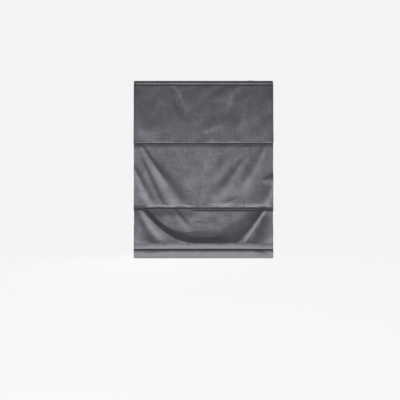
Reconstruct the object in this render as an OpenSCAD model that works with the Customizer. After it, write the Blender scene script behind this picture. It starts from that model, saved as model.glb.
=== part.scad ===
// Roman blind with a spring-balanced lift, shown partly raised with one gathered fold.
// Origin: middle of the plane that the two brackets are screwed to.
// +X to the right seen from the room, -Y towards the room, +Z up. Millimetres.

/* [Blind] */
// width of the velvet
blind_w = 1000; // [600:10:1400]
// top of the brackets to the first rod line
rod_1_drop = 455; // [380:5:520]
// distance between one rod line and the next
rod_pitch = 460; // [400:5:520]
// how far the third rod is below the second as the blind hangs now
rod_3_below = 140; // [110:5:180]
// third rod to the bottom edge of the cloth
bottom_panel = 225; // [180:5:280]
// lowest point of the gathered fold, below the second rod
fold_below = 296; // [280:1:330]

/* [Cloth] */
// thickness of the velvet
velvet_t = 1.6; // [1:0.1:2.4]
// thickness of the lining
lining_t = 0.6; // [0.4:0.1:1]
// how far the top panel bellies out towards the room
belly_1 = 18; // [6:1:24]
// how far the second panel bellies out towards the room
belly_2 = 9; // [4:1:20]
// how far each side edge draws in at the gathered fold
edge_in = 6; // [0:1:12]
// height of the roll where a panel tucks back into a rod line
tuck_h = 6; // [4:1:20]
// how far the gathered fold stands out in front of the rods
fold_out = 40; // [30:1:60]
// half depth of the turn at the bottom of the gathered fold
fold_turn = 14; // [10:0.5:15]
// share of the drawn creases that is shown
crease_share = 1; // [0:0.1:1.5]

/* [Headrail] */
// depth of the rail from front to back
rail_d = 54; // [54:1:70]
// height of the rail
rail_h = 38; // [38:1:50]
// wall of the rail
rail_wall = 1.5; // [1.2:0.1:2]
// distance from a side edge to the outer lift cord
cord_in = 100; // [90:5:140]
// distance from the outer lift cord to the bracket beside it
bracket_in = 60; // [55:5:90]

/* [Lift] */
// radius of the spool that the cord winds on
spool_r = 9; // [8:0.5:10]
// radius of a lift cord
cord_r = 0.6; // [0.5:0.1:0.8]
// across flats of the hexagonal shaft
shaft_af = 6; // [5:0.5:6.5]
// place of the spring motor, as a share of the way from the middle to the left cord
motor_at = 0.475; // [0.4:0.025:0.6]

/* [Rods] */
// radius of a rod
rod_r = 2; // [1.5:0.25:2.5]
// height of the flat bottom bar
bar_h = 25; // [18:1:32]
// thickness of the flat bottom bar
bar_t = 5; // [3:0.5:6]

/* [Hidden] */
// clearance between curved faces of different pieces
gap = 0.3;
// radial clearance of a running bearing
run = 0.05;
// cloth rows and columns are this many steps
cols = 30;

// heights
plate_t = 2;
rail_top = -4.5;
rail_bot = rail_top - rail_h;
floor_z = rail_bot + rail_wall;
lip_z = rail_top - rail_wall;
rod_1_z = -rod_1_drop;
rod_2_z = rod_1_z - rod_pitch;
rod_3_z = rod_2_z - rod_3_below;
bottom_z = rod_3_z - bottom_panel;
fold_z = rod_2_z - fold_below;
cloth_top = -15;

// depths, front is negative
rail_front = -22;
rail_back = rail_front + rail_d;
tape_t = 1;
tape_edge = 4;
tape_h = cloth_top - tape_edge / 2 - rail_bot - tape_edge;
lining_y = rail_front - 2 * tape_t - gap - lining_t / 2;
cloth_y = lining_y - lining_t / 2 - gap - velvet_t / 2;
tip_r = rod_r + 0.8;
pocket_in = tip_r + gap;
pocket_out = pocket_in + 0.8;
rod_y = lining_y + lining_t / 2 + gap + pocket_out;

// lift
cord_x = blind_w / 2 - cord_in;
bracket_x = cord_x - bracket_in;
motor_x = cord_x * motor_at;
shaft_y = 0;
shaft_z = (floor_z + lip_z) / 2;
cord_y = shaft_y - spool_r - cord_r - gap;
ring_wire = 1;
ring_r = cord_y - rod_y - pocket_out - gap - ring_wire;
toggle_r = ring_r - ring_wire + 0.6;
toggle_drop = sqrt(pow(toggle_r + ring_wire + gap, 2) - pow(ring_r, 2));
flange_r = spool_r + 4;
spool_half = 17;
cheek_x = spool_half + 2.6;
cheek_t = 3;
journal_r = 5;
cord_xs = [-cord_x, 0, cord_x];

// headrail opening and ends
lip_w = 10;
rail_len = blind_w - 8;
cap_t = 2;

// brackets
bracket_half = 22;
screw_off = 10;
pivot_off = -13;
screw_r = 2.5;
pivot_y = rail_back - lip_w - 8;
pivot_r = 2;

// spring motor
motor_half = 40;
motor_wall = 3;
drum_room = 3;
drum_clear = 0.8;
out_drum_r = 5.2;
out_flange = out_drum_r + 2.2;
store_flange = (rail_back - rail_wall - 3 * gap - drum_room - shaft_y - out_flange - drum_clear) / 2;
store_y = shaft_y + out_flange + drum_clear + store_flange;
store_drum_r = 0.45 * store_flange;
store_journal = 0.34 * store_flange;
motor_front = shaft_y - out_flange - drum_room;
motor_back = store_y + store_flange + drum_room;
motor_top = shaft_z + 11.5;

// gathered fold: its turn at the bottom, its crest over the third rod, and the lead in front of it
turn_h = 42;
crest_r = 2.4;
crest_z = rod_3_z + 9;
lead = 2 * crest_r + 8.2;
lead_h = rod_3_below - 25;
lead_step = 9;
lining_in = 20;
lining_share = 0.5;
lining_tuck = 3;
lining_turn_h = 12;
lining_swag_h = 140;

// swag: drop of its front edge in the middle, the ends of that middle, its reach to each side,
// its drop at the side edges, and how much less the fold stands out there
swag_drop = fold_below - 46;
swag_left = -0.04 * blind_w;
swag_right = 0.23 * blind_w;
swag_left_w = 0.4 * blind_w;
swag_right_w = 0.21 * blind_w;
swag_slope = 70;
swag_corner = 15;
fold_side = 12;

// fullness of the upper panels: how far out, share of the height that it rises over, share of its fall
full_1 = [belly_1, 1.6, 0];
full_2 = [belly_2, 1, 0.15];
seam_step = 9;
hem_full = 8;

// hem around the bottom bar
bar_y = lining_y + lining_t / 2 + gap + bar_t / 2;
hem_back_y = bar_y + bar_t / 2 + gap + velvet_t / 2;
hem_r = (hem_back_y - cloth_y) / 2;
hem_top = bottom_z + bar_h + 24;
bar_z = bottom_z + velvet_t / 2 + hem_r + bar_h / 2;
bar_short = 44;
bar_len = blind_w - bar_short;
lining_short = 36;
lining_w = blind_w - lining_short;
rod_short = 18;
rod_len = lining_w - rod_short;

// colours
velvet_c = [0.36, 0.37, 0.38];
lining_c = [0.86, 0.85, 0.82];
rail_c = [0.20, 0.20, 0.21];
steel_c = [0.70, 0.71, 0.72];
plastic_c = [0.88, 0.88, 0.86];
cord_c = [0.80, 0.80, 0.78];

// Smooth step from 0 to 1
function smooth(t) = let (c = min(1, max(0, t))) c * c * (3 - 2 * c);

// Creases of the velvet: [x, drop, x, drop, bend, half width left, half width right, height].
// x is in thousandths of the width and the drop is from the panel's top. A crease starts narrow
// at its first point. A positive height stands out towards the room.
crease_tip = 0.3;
creases_1 = [
    [-245, -10, -120, 260, 0, 46, 44, -7],
    [262, 40, 172, 270, 0, 50, 44, -6],
    [285, 70, 262, 350, 0, 30, 60, 4],
    [10, 335, 190, 245, 0, 60, 90, 5],
    [30, 132, 175, 90, 0, 40, 46, 3],
    [-490, 335, -290, 352, 0, 90, 110, 7],
    [-478, 60, -462, 300, 0, 26, 34, 3]];
creases_2 = [
    [-455, -14, -215, 345, -6, 44, 38, 10],
    [-420, 60, -135, 450, -4, 74, 110, 17],
    [-415, 150, -312, 440, 0, 26, 22, 7],
    [-482, 170, -345, 460, -5, 56, 30, 14],
    [440, 5, 250, 365, 10, 40, 56, 15],
    [300, 100, 70, 415, 4, 52, 74, 14],
    [482, 270, 414, 460, 0, 26, 36, 11],
    [185, 80, 40, 270, 0, 50, 60, 6],
    [425, 266, 540, 236, 0, 60, 30, 5],
    [40, 432, 500, 424, 0, 24, 70, 3]];
creases_3 = [
    [-472, 5, -258, 300, -10, 40, 80, -24],
    [-530, 110, -420, 300, 0, 46, 60, -14],
    [468, 10, 288, 290, 5, 38, 44, -22],
    [530, 110, 400, 300, 0, 60, 46, -14],
    [-226, 0, -90, 170, 4, 36, 28, 7]];

function crease(s, x, d) =
    let (
        run_x = (s[2] - s[0]) * blind_w / 1000,
        run_d = s[3] - s[1],
        size = norm([run_x, run_d]),
        at_x = x - s[0] * blind_w / 1000,
        at_d = d - s[1],
        along = (at_x * run_x + at_d * run_d) / (size * size),
        off = (at_x * run_d - at_d * run_x) / size - 4 * s[4] * along * (1 - along),
        ends = smooth((along + 0.1) / 0.3) * smooth((1.1 - along) / 0.5),
        wide = crease_tip + (1 - crease_tip) * min(1, max(0, along)),
        side = (off < 0 ? s[5] : s[6]) * wide
    )
    crease_share * s[7] * wide * ends * exp(-pow(off / side, 2));

function creased(list, x, d) = [for (s = list) crease(s, x, d)] * [for (s = list) 1];

// An upper panel: bellies out on its way down and tucks back into the rod line in a roll
function tucked(d, high) = sqrt(max(0, 1 - pow(max(0, (d - high + tuck_h) / tuck_h), 2)));
function filled(d, high, flat, full) =
    let (
        at = max(0, d - flat) / (high - flat),
        rise = 0.35 * smooth((d - flat) / seam_step) + 0.65 * (1 - pow(max(0, 1 - at / full[1]), 2))
    )
    full[0] * rise * (1 - full[2] * smooth((at - 0.45) / 0.55));
function panel_out(list, x, d, high, flat, full) =
    let (
        fill = filled(d, high, flat, full),
        env = smooth((d - flat) / 30) * smooth((high - d) / 18)
    )
    max(lining_share * fill, fill + env * creased(list, x, d)) * tucked(d, high);

// The gathered panel comes forward under the second rod, in one step on the left and two on the right
function lead_in(x, d) =
    let (right = smooth((x / blind_w + 0.11) / 0.08))
    lead * (0.45 * smooth(d / lead_step) + 0.15 * smooth(d / lead_h)
        + 0.4 * (right * smooth((d - 15) / 12) + (1 - right) * smooth(d / 70)));

// It swags out to the fold along a front edge that drops from both top corners
function swag_edge(x) =
    let (
        left = pow(max(0, swag_left - x) / swag_left_w, 1.7),
        right = pow(max(0, x - swag_right) / swag_right_w, 1.25),
        above = swag_drop * (1 - left - right) - swag_corner
    )
    swag_corner + (above + norm([above, swag_corner])) / 2;
function swag_long(x) =
    let (at = x / blind_w)
    min(swag_edge(x), swag_slope - 15 * smooth((-at - 0.02) / 0.2) + 80 * smooth((at - 0.06) / 0.18));
function swing(t) =
    let (
        p = pow(min(1.3, max(0, t)), 1.8),
        near = min(1, max(0, 0.5 + (1 - p) / 0.3))
    )
    p * near + 1 - near - 0.15 * near * (1 - near);
function fold_out_at(x) = fold_out - fold_side * smooth((abs(x) / blind_w - 0.36) / 0.14);
function lining_front(d) =
    (lead - 3) * smooth(d / lead_h) + (fold_out - lining_in - lead + 3)
        * smooth((d - fold_below + lining_swag_h) / (lining_swag_h - turn_h));
function gathered_out(x, d) =
    let (long = swag_long(x))
    max(lining_front(d) + velvet_t * smooth(d / 20),
        lead_in(x, d) + (fold_out_at(x) - lead) * swing((d - swag_edge(x) + long) / long)
            + smooth(d / 10) * creased(creases_3, x, d));

// The bottom panel bellies out between the fold and the hem
function low_out(z) = hem_full * smooth((fold_z + 31 - z) / 58) * smooth((z - bottom_z + 4) / 46);

// Rows of the velvet from top to hem: [depth, height, drop or share in its panel, which shape, edges in]
function steps(a, b, n) = [for (i = [0 : n]) a + (b - a) * i / n];
panel_1_h = rod_1_drop + cloth_top;
tuck_steps = [0.5, 0.8, 0.95, 1];
drops_1 = concat([0, tape_h / 2, tape_h, tape_h + seam_step / 2],
    steps(tape_h + seam_step, panel_1_h - tuck_h, 12),
    [for (k = tuck_steps) panel_1_h - tuck_h + k * tuck_h]);
drops_2 = concat([seam_step / 3, seam_step], steps(24, rod_pitch - tuck_h, 13),
    [for (k = tuck_steps) rod_pitch - tuck_h + k * tuck_h]);
drops_3 = concat([lead_step / 2, lead_step, 15, 21, 27], steps(43, fold_below - turn_h, 12));
fold_y = cloth_y - fold_out + fold_turn;
hem_z = bottom_z + velvet_t / 2 + hem_r;
hem_seam_y = lining_y + lining_t / 2 + gap + velvet_t / 2;
hang_steps = [0.3, 0.55, 0.68, 0.76, 0.84, 0.92, 1];
rows = concat(
    [for (d = drops_1) [cloth_y, cloth_top - d, d, 1, 0.2 * sin(180 * d / panel_1_h)]],
    [for (d = drops_2) [cloth_y, rod_1_z - d, d, 2, 0.3 * sin(180 * d / rod_pitch)]],
    [for (d = drops_3) [cloth_y, rod_2_z - d, d, 3, smooth(d / fold_out)]],
    [for (a = [15 : 25 : 165])
        [fold_y - fold_turn * cos(a), fold_z + turn_h - turn_h * sin(a), (1 + cos(a)) / 2, 4, 1]],
    [for (k = [0 : 0.25 : 0.9])
        [fold_y + fold_turn + (cloth_y - 2 * crest_r - fold_y - fold_turn) * smooth(k),
            fold_z + turn_h + (crest_z - fold_z - turn_h) * k, 0, 0, 1 - k]],
    [for (a = [180 : -36 : 0])
        [cloth_y - crest_r + crest_r * cos(a), crest_z + crest_r * sin(a), 0, 0, 0]],
    [for (k = hang_steps)
        let (z = crest_z + (hem_z - crest_z) * k)
        [cloth_y - (k < 1 ? low_out(z) : 0), z, 0, 0, 0]],
    [for (a = [210 : 30 : 330])
        [cloth_y + hem_r + hem_r * cos(a), hem_z + hem_r * sin(a), 0, 0, 0]],
    [[hem_back_y, hem_z + velvet_t, 0, 0, 0], [hem_back_y, bar_z + bar_h / 2, 0, 0, 0],
        [hem_seam_y, hem_top - 8, 0, 0, 0], [hem_seam_y, hem_top, 0, 0, 0]]);

function row_out(r, x) =
    r[3] == 1 ? panel_out(creases_1, x, r[2], panel_1_h, tape_h, full_1) :
    r[3] == 2 ? panel_out(creases_2, x, r[2], rod_pitch, 0, full_2) :
    r[3] == 3 ? gathered_out(x, r[2]) :
    r[3] == 4 ? (gathered_out(x, fold_below - turn_h) - fold_out) * r[2] : 0;

// A flat profile of a strip of even thickness along a line of points
function strip(line, t) =
    let (
        n = len(line),
        side = [for (i = [0 : n - 1])
            let (v = line[min(n - 1, i + 1)] - line[max(0, i - 1)])
            [v[1], -v[0]] * t / 2 / norm(v)]
    )
    concat([for (i = [0 : n - 1]) line[i] + side[i]],
        [for (i = [n - 1 : -1 : 0]) line[i] - side[i]]);

// Draws a depth and height profile and runs it along the width
module along_x(x0, x1) {
    translate([x0, 0, 0]) rotate([90, 0, 90]) linear_extrude(x1 - x0) children();
}

// A round piece along the width, on a given axis
module round_x(r, x0, x1, y, z, fn = 64) {
    translate([x0, y, z]) rotate([0, 90, 0]) cylinder(r = r, h = x1 - x0, $fn = fn);
}

// A box by its two corners
module box(a, b) {
    translate(a) cube(b - a);
}

module velvet_sheet() {
    xs = [for (j = [0 : cols]) -blind_w / 2 + blind_w * j / cols];
    n = len(rows);
    mid = [for (r = rows) [for (x = xs)
        [x * (1 - 2 * edge_in * r[4] / blind_w), r[0] - row_out(r, x), r[1]]]];
    out = [for (i = [0 : n - 1]) [for (j = [0 : cols])
        let (v = mid[min(n - 1, i + 1)][j] - mid[max(0, i - 1)][j])
        [0, v[2], -v[1]] * velvet_t / 2 / norm(v)]];
    m = cols + 1;
    front = [for (i = [0 : n - 1]) for (j = [0 : cols]) mid[i][j] + out[i][j]];
    back = [for (i = [0 : n - 1]) for (j = [0 : cols]) mid[i][j] - out[i][j]];
    k = n * m;
    faces = concat(
        [for (i = [0 : n - 2]) for (j = [0 : cols - 1])
            let (p = i * m + j) each [[p, p + 1, p + m + 1], [p, p + m + 1, p + m]]],
        [for (i = [0 : n - 2]) for (j = [0 : cols - 1])
            let (p = k + i * m + j) each [[p, p + m + 1, p + 1], [p, p + m, p + m + 1]]],
        [for (i = [0 : n - 2])
            let (p = i * m) each [[p, p + m, k + p + m], [p, k + p + m, k + p]]],
        [for (i = [0 : n - 2])
            let (p = i * m + cols) each [[p, k + p + m, p + m], [p, k + p, k + p + m]]],
        [for (j = [0 : cols - 1])
            each [[j, k + j + 1, j + 1], [j, k + j, k + j + 1]]],
        [for (j = [0 : cols - 1])
            let (p = (n - 1) * m + j) each [[p, p + 1, k + p + 1], [p, k + p + 1, k + p]]]);
    polyhedron(points = concat(front, back), faces = faces, convexity = 8);
}

module face_cloth() {
    color(velvet_c) velvet_sheet();
}

// The lining hangs straight behind the velvet and turns inside the gathered fold
module lining() {
    front_y = lining_y - fold_out + lining_in;
    back_y = fold_y + fold_turn - 1.4;
    turn_z = fold_z + turn_h;
    drops = [for (d = drops_1) if (d > tape_edge) d];
    line = concat(
        [for (d = drops) [lining_y - lining_share * tucked(d, panel_1_h)
            * filled(d, panel_1_h, tape_h, full_1), cloth_top - d * (1 - lining_tuck / panel_1_h)]],
        [for (d = drops_2) [lining_y - lining_share * tucked(d, rod_pitch)
            * filled(d, rod_pitch, 0, full_2), rod_1_z - d * (1 - lining_tuck / rod_pitch)]],
        [for (d = steps(fold_below / 40, fold_below - turn_h, 26))
            [lining_y - lining_front(d), rod_2_z - d]],
        [for (a = [15 : 15 : 165])
            [(front_y + back_y) / 2 - (back_y - front_y) / 2 * cos(a),
                turn_z - lining_turn_h * sin(a)]],
        [for (k = [0 : 0.25 : 0.9])
            [back_y + (cloth_y - 2 * crest_r - 1.4 - back_y) * smooth(k),
                turn_z + (crest_z - turn_z) * k]],
        [for (a = [180 : -15 : 0])
            [cloth_y - crest_r + (crest_r + 1.4) * cos(a), crest_z + (crest_r + 1.4) * sin(a)]],
        [[lining_y, rod_3_z], [lining_y, bar_z - bar_h / 2]]);
    color(lining_c) along_x(-lining_w / 2, lining_w / 2) polygon(strip(line, lining_t));
}

module hook_tape() {
    color(rail_c) box([-rail_len / 2, rail_front - tape_t, rail_bot + tape_edge],
        [rail_len / 2, rail_front, rail_bot + tape_edge + tape_h]);
}

module loop_tape() {
    color(rail_c) box([-rail_len / 2, rail_front - 2 * tape_t, rail_bot + tape_edge],
        [rail_len / 2, rail_front - tape_t, rail_bot + tape_edge + tape_h]);
}

// A channel with lips turned in at the top and a hole under each spool
module headrail() {
    color(rail_c) difference() {
        along_x(-rail_len / 2, rail_len / 2) difference() {
            translate([rail_front, rail_bot]) square([rail_d, rail_h]);
            translate([rail_front + rail_wall, floor_z])
                square([rail_d - 2 * rail_wall, rail_h - 2 * rail_wall]);
            translate([rail_front + lip_w, lip_z - 1]) square([rail_d - 2 * lip_w, rail_wall + 2]);
        }
        for (x = cord_xs)
            translate([x, cord_y, rail_bot - 1]) cylinder(r = 3.5, h = rail_wall + 2, $fn = 48);
    }
}

// A moulded cover plate with a plug that sits inside the rail
module end_cap(side) {
    x = side * rail_len / 2;
    color(rail_c) union() {
        box([min(x, x + side * cap_t), rail_front, rail_bot],
            [max(x, x + side * cap_t), rail_back, rail_top]);
        difference() {
            box([min(x, x - side * 9), rail_front + rail_wall + 0.2, floor_z + 0.2],
                [max(x, x - side * 9), rail_back - rail_wall - 0.2, lip_z - 0.2]);
            box([min(x - side * 2, x - side * 10), rail_front + rail_wall + 3, floor_z + 3],
                [max(x - side * 2, x - side * 10), rail_back - rail_wall - 3, lip_z - 3]);
        }
    }
}
module end_cap_left() { end_cap(-1); }
module end_cap_right() { end_cap(1); }

// A pressed plate with one screw hole and a tongue that carries the front lip of the rail
module bracket(side) {
    front_edge = rail_front + lip_w;
    x = side * bracket_x;
    color(steel_c) difference() {
        union() {
            box([x - bracket_half, rail_front + 3, -plate_t], [x + bracket_half, rail_back - 5, 0]);
            box([x - bracket_half + 4, front_edge + 0.6, lip_z - 1.8],
                [x + bracket_half - 4, front_edge + 2.4, -plate_t]);
            box([x - bracket_half + 4, rail_front + 4, lip_z - 1.8],
                [x + bracket_half - 4, front_edge + 2.4, lip_z]);
        }
        translate([x + side * screw_off, 0, -plate_t - 1])
            cylinder(r = screw_r, h = plate_t + 2, $fn = 48);
        translate([x + side * pivot_off, pivot_y, -plate_t - 1])
            cylinder(r = pivot_r + run, h = plate_t + 2, $fn = 48);
    }
}
module bracket_left() { bracket(-1); }
module bracket_right() { bracket(1); }

// A swivel latch: a handle over the rail, a hub, and a cam that turns in under the back lip
module latch(side) {
    reach = rail_back + 9 - pivot_y;
    color(steel_c) translate([side * (bracket_x + pivot_off), pivot_y, 0]) union() {
        translate([0, 0, lip_z - 2]) cylinder(r = pivot_r, h = 2 - lip_z - 0.3, $fn = 48);
        translate([0, 0, lip_z - 2]) cylinder(r = 4, h = 2 - lip_z - plate_t - 0.2, $fn = 48);
        box([-4, 0, rail_top + 0.3], [4, reach, -plate_t - 0.3]);
        box([-4, 0, lip_z - 2], [4, rail_back - 4 - pivot_y, lip_z - 0.1]);
    }
}
module latch_left() { latch(-1); }
module latch_right() { latch(1); }

// A cradle clipped in the rail, with two cheeks that the spool's journals snap into
module cradle(x) {
    foot = cheek_x + cheek_t + 1;
    color(plastic_c) difference() {
        union() {
            box([x - foot, rail_front + rail_wall + 0.2, floor_z],
                [x + foot, rail_back - rail_wall - 0.2, floor_z + 2]);
            for (s = [-1, 1])
                box([x + s * (cheek_x + cheek_t / 2) - cheek_t / 2, shaft_y - 15, floor_z],
                    [x + s * (cheek_x + cheek_t / 2) + cheek_t / 2, shaft_y + 15, shaft_z + 9]);
        }
        round_x(journal_r + run, x - foot, x + foot, shaft_y, shaft_z);
        box([x - foot, shaft_y - 4.2, shaft_z], [x + foot, shaft_y + 4.2, shaft_z + 10]);
        translate([x, cord_y, floor_z - 1]) cylinder(r = 3.5, h = 4, $fn = 48);
    }
}
module cradle_left() { cradle(-cord_x); }
module cradle_middle() { cradle(0); }
module cradle_right() { cradle(cord_x); }

// Three moulded eyelets that guide the cords out through the floor of the rail
module cord_eyelets() {
    color(plastic_c) for (x = cord_xs) translate([x, cord_y, 0]) difference() {
        union() {
            translate([0, 0, rail_bot - 1.2]) cylinder(r = 5.5, h = 1.2, $fn = 48);
            translate([0, 0, rail_bot - 0.5])
                cylinder(r = 3.45, h = rail_wall + 2.5, $fn = 48);
        }
        translate([0, 0, rail_bot - 2]) cylinder(r = 1.4, h = 10, $fn = 48);
    }
}

module shaft_hole(x0, x1) {
    round_x((shaft_af / 2 + run) / cos(30), x0, x1, shaft_y, shaft_z, 6);
}

module lift_shaft() {
    color(steel_c)
        round_x(shaft_af / 2 / cos(30), -rail_len / 2 + 14, rail_len / 2 - 14, shaft_y, shaft_z, 6);
}

// A spool: a drum between two flanges, with a journal at each end
module spool(x) {
    flange = spool_half + 2;
    journal = cheek_x + cheek_t + 1.2;
    color(plastic_c) difference() {
        union() {
            round_x(journal_r, x - journal, x + journal, shaft_y, shaft_z);
            round_x(spool_r, x - flange, x + flange, shaft_y, shaft_z);
            round_x(flange_r, x - flange, x - spool_half, shaft_y, shaft_z);
            round_x(flange_r, x + spool_half, x + flange, shaft_y, shaft_z);
        }
        shaft_hole(x - journal - 1, x + journal + 1);
    }
}
module spool_left() { spool(-cord_x); }
module spool_middle() { spool(0); }
module spool_right() { spool(cord_x); }

// The turns of cord that are on each spool, side by side
module wound_cord() {
    turns = 6;
    pitch = 2 * cord_r + 0.1;
    color(cord_c) for (x = cord_xs)
        translate([x - cord_r - 0.3, shaft_y, shaft_z]) rotate([0, -90, 0]) rotate_extrude($fn = 64)
            polygon(concat([[spool_r + 0.05, 0]],
                [for (i = [0 : turns - 1]) each [[spool_r + cord_r, i * pitch],
                    [spool_r + 2 * cord_r, (i + 0.5) * pitch]]],
                [[spool_r + cord_r, turns * pitch], [spool_r + 0.05, turns * pitch]]));
}

// Three straight cords from the spools through the rings to the toggles
module lift_cords() {
    end_z = rod_3_z - toggle_drop - toggle_r + 0.4;
    color(cord_c) for (x = cord_xs)
        translate([x, cord_y, end_z]) cylinder(r = cord_r, h = shaft_z - end_z, $fn = 24);
}

// An open box with slots that the drums' journals drop into
module motor_housing() {
    x0 = -motor_x - motor_half;
    x1 = -motor_x + motor_half;
    y0 = motor_front;
    y1 = motor_back;
    color(plastic_c) difference() {
        box([x0, y0, floor_z], [x1, y1, motor_top]);
        box([x0 + motor_wall, y0 + 1.5, floor_z + 2], [x1 - motor_wall, y1 - 1.5, motor_top + 1]);
        round_x(journal_r + run, x0 - 1, x1 + 1, shaft_y, shaft_z);
        box([x0 - 1, shaft_y - journal_r - run, shaft_z],
            [x1 + 1, shaft_y + journal_r + run, motor_top + 1]);
        round_x(store_journal + run, x0 - 1, x1 + 1, store_y, shaft_z);
        box([x0 - 1, store_y - store_journal - run, shaft_z],
            [x1 + 1, store_y + store_journal + run, motor_top + 1]);
    }
}

// A lid whose four tabs close the journal slots
module motor_cover() {
    x0 = -motor_x - motor_half;
    x1 = -motor_x + motor_half;
    color(plastic_c) union() {
        box([x0, motor_front, motor_top], [x1, motor_back, motor_top + 1.5]);
        for (x = [x0, x1 - motor_wall]) {
            box([x + 0.2, shaft_y - journal_r + 0.3, shaft_z + journal_r + 0.4],
                [x + motor_wall - 0.2, shaft_y + journal_r - 0.3, motor_top + 1]);
            box([x + 0.2, store_y - store_journal + 0.3, shaft_z + store_journal + 0.4],
                [x + motor_wall - 0.2, store_y + store_journal - 0.3, motor_top + 1]);
        }
    }
}

// A spring drum between two flanges
module drum(r, flange, journal, past, y) {
    inside = motor_half - motor_wall - 0.5;
    x0 = -motor_x - inside;
    x1 = -motor_x + inside;
    round_x(r, x0, x1, y, shaft_z);
    round_x(flange, x0, x0 + 1.6, y, shaft_z);
    round_x(flange, x1 - 1.6, x1, y, shaft_z);
    round_x(journal, x0 - past, x1 + past, y, shaft_z);
}

module output_drum() {
    color(plastic_c) difference() {
        drum(out_drum_r, out_flange, journal_r, motor_wall + 2, shaft_y);
        shaft_hole(-motor_x - motor_half - 9, -motor_x + motor_half + 9);
    }
}

module storage_drum() {
    color(plastic_c) drum(store_drum_r, store_flange, store_journal, motor_wall + 0.2, store_y);
}

// A flat spring: six turns on the storage drum, across, and two back-wound on the output drum
module flat_spring() {
    store_out = 0.86 * store_flange;
    store_in = store_drum_r + 0.4;
    take_out = out_flange - 1.2;
    take_in = out_drum_r + 0.3;
    lean = acos((store_out + take_out) / (store_y - shaft_y));
    line = concat(
        [for (a = [-6 * 360 : 20 : 0])
            let (r = store_out + (store_out - store_in) * a / (6 * 360))
            [store_y + r * cos(a + 180 - lean), shaft_z + r * sin(a + 180 - lean)]],
        [for (a = [0 : -20 : -2 * 360])
            let (r = take_out + (take_out - take_in) * a / (2 * 360))
            [shaft_y + r * cos(a - lean), shaft_z + r * sin(a - lean)]]);
    wide = motor_half - motor_wall - 3;
    color(steel_c) along_x(-motor_x - wide, -motor_x + wide) polygon(strip(line, 0.2));
}

// Rod, its two tips, the sewn pocket it lies in and the rings behind the pocket
module rod(z) {
    color(plastic_c) round_x(rod_r, -rod_len / 2, rod_len / 2, rod_y, z, 32);
}

module rod_tips(z) {
    end = rod_len / 2;
    color(plastic_c) for (s = [-1, 1]) difference() {
        round_x(tip_r, s * end - 7, s * end + 7, rod_y, z, 32);
        round_x(rod_r + run, s > 0 ? end - 8 : -end - 0.2, s > 0 ? end + 0.2 : 8 - end,
            rod_y, z, 32);
    }
}

module rod_pocket(z, up) {
    y0 = lining_y + lining_t / 2 + gap;
    color(lining_c) along_x(-lining_w / 2, lining_w / 2) translate([rod_y, z]) difference() {
        union() {
            circle(r = pocket_out, $fn = 48);
            translate([y0 - rod_y, up > 0 ? 0 : -13]) square([0.8, 13]);
        }
        circle(r = pocket_in, $fn = 48);
    }
}

module rod_rings(z) {
    color(plastic_c) for (x = cord_xs) translate([x, cord_y, z])
        rotate_extrude($fn = 48) translate([ring_r, 0]) circle(r = ring_wire, $fn = 24);
}

module rod_1() { rod(rod_1_z); }
module rod_1_tips() { rod_tips(rod_1_z); }
module rod_1_pocket() { rod_pocket(rod_1_z, 1); }
module rod_1_rings() { rod_rings(rod_1_z); }
module rod_2() { rod(rod_2_z); }
module rod_2_tips() { rod_tips(rod_2_z); }
module rod_2_pocket() { rod_pocket(rod_2_z, 1); }
module rod_2_rings() { rod_rings(rod_2_z); }
module rod_3() { rod(rod_3_z); }
module rod_3_tips() { rod_tips(rod_3_z); }
module rod_3_pocket() { rod_pocket(rod_3_z, -1); }
module rod_3_rings() { rod_rings(rod_3_z); }

// Toggles under the lowest rings, which the cords are tied to
module cord_toggles() {
    color(plastic_c) for (x = cord_xs) translate([x, cord_y, rod_3_z - toggle_drop]) difference() {
        sphere(r = toggle_r, $fn = 48);
        translate([0, 0, -toggle_r - 1]) cylinder(r = cord_r + 0.1, h = 2 * toggle_r + 2, $fn = 24);
    }
}

module bottom_bar() {
    color(steel_c) box([-bar_len / 2, bar_y - bar_t / 2, bar_z - bar_h / 2],
        [bar_len / 2, bar_y + bar_t / 2, bar_z + bar_h / 2]);
}

// Moulded tips on the ends of the bottom bar
module bottom_bar_tips() {
    color(plastic_c) for (s = [-1, 1])
        box([s * bar_len / 2 + (s < 0 ? -6 : 0), bar_y - bar_t / 2, bar_z - bar_h / 2],
            [s * bar_len / 2 + (s < 0 ? 0 : 6), bar_y + bar_t / 2, bar_z + bar_h / 2]);
}

headrail();
end_cap_left();
end_cap_right();
bracket_left();
bracket_right();
latch_left();
latch_right();
hook_tape();
loop_tape();
cradle_left();
cradle_middle();
cradle_right();
cord_eyelets();
motor_housing();
motor_cover();
output_drum();
storage_drum();
flat_spring();
lift_shaft();
spool_left();
spool_middle();
spool_right();
wound_cord();
face_cloth();
lining();
lift_cords();
rod_1();
rod_1_tips();
rod_1_pocket();
rod_1_rings();
rod_2();
rod_2_tips();
rod_2_pocket();
rod_2_rings();
rod_3();
rod_3_tips();
rod_3_pocket();
rod_3_rings();
cord_toggles();
bottom_bar();
bottom_bar_tips();
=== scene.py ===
"""Roman blind in dark grey velvet: cloth, lining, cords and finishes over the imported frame."""

import math

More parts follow.
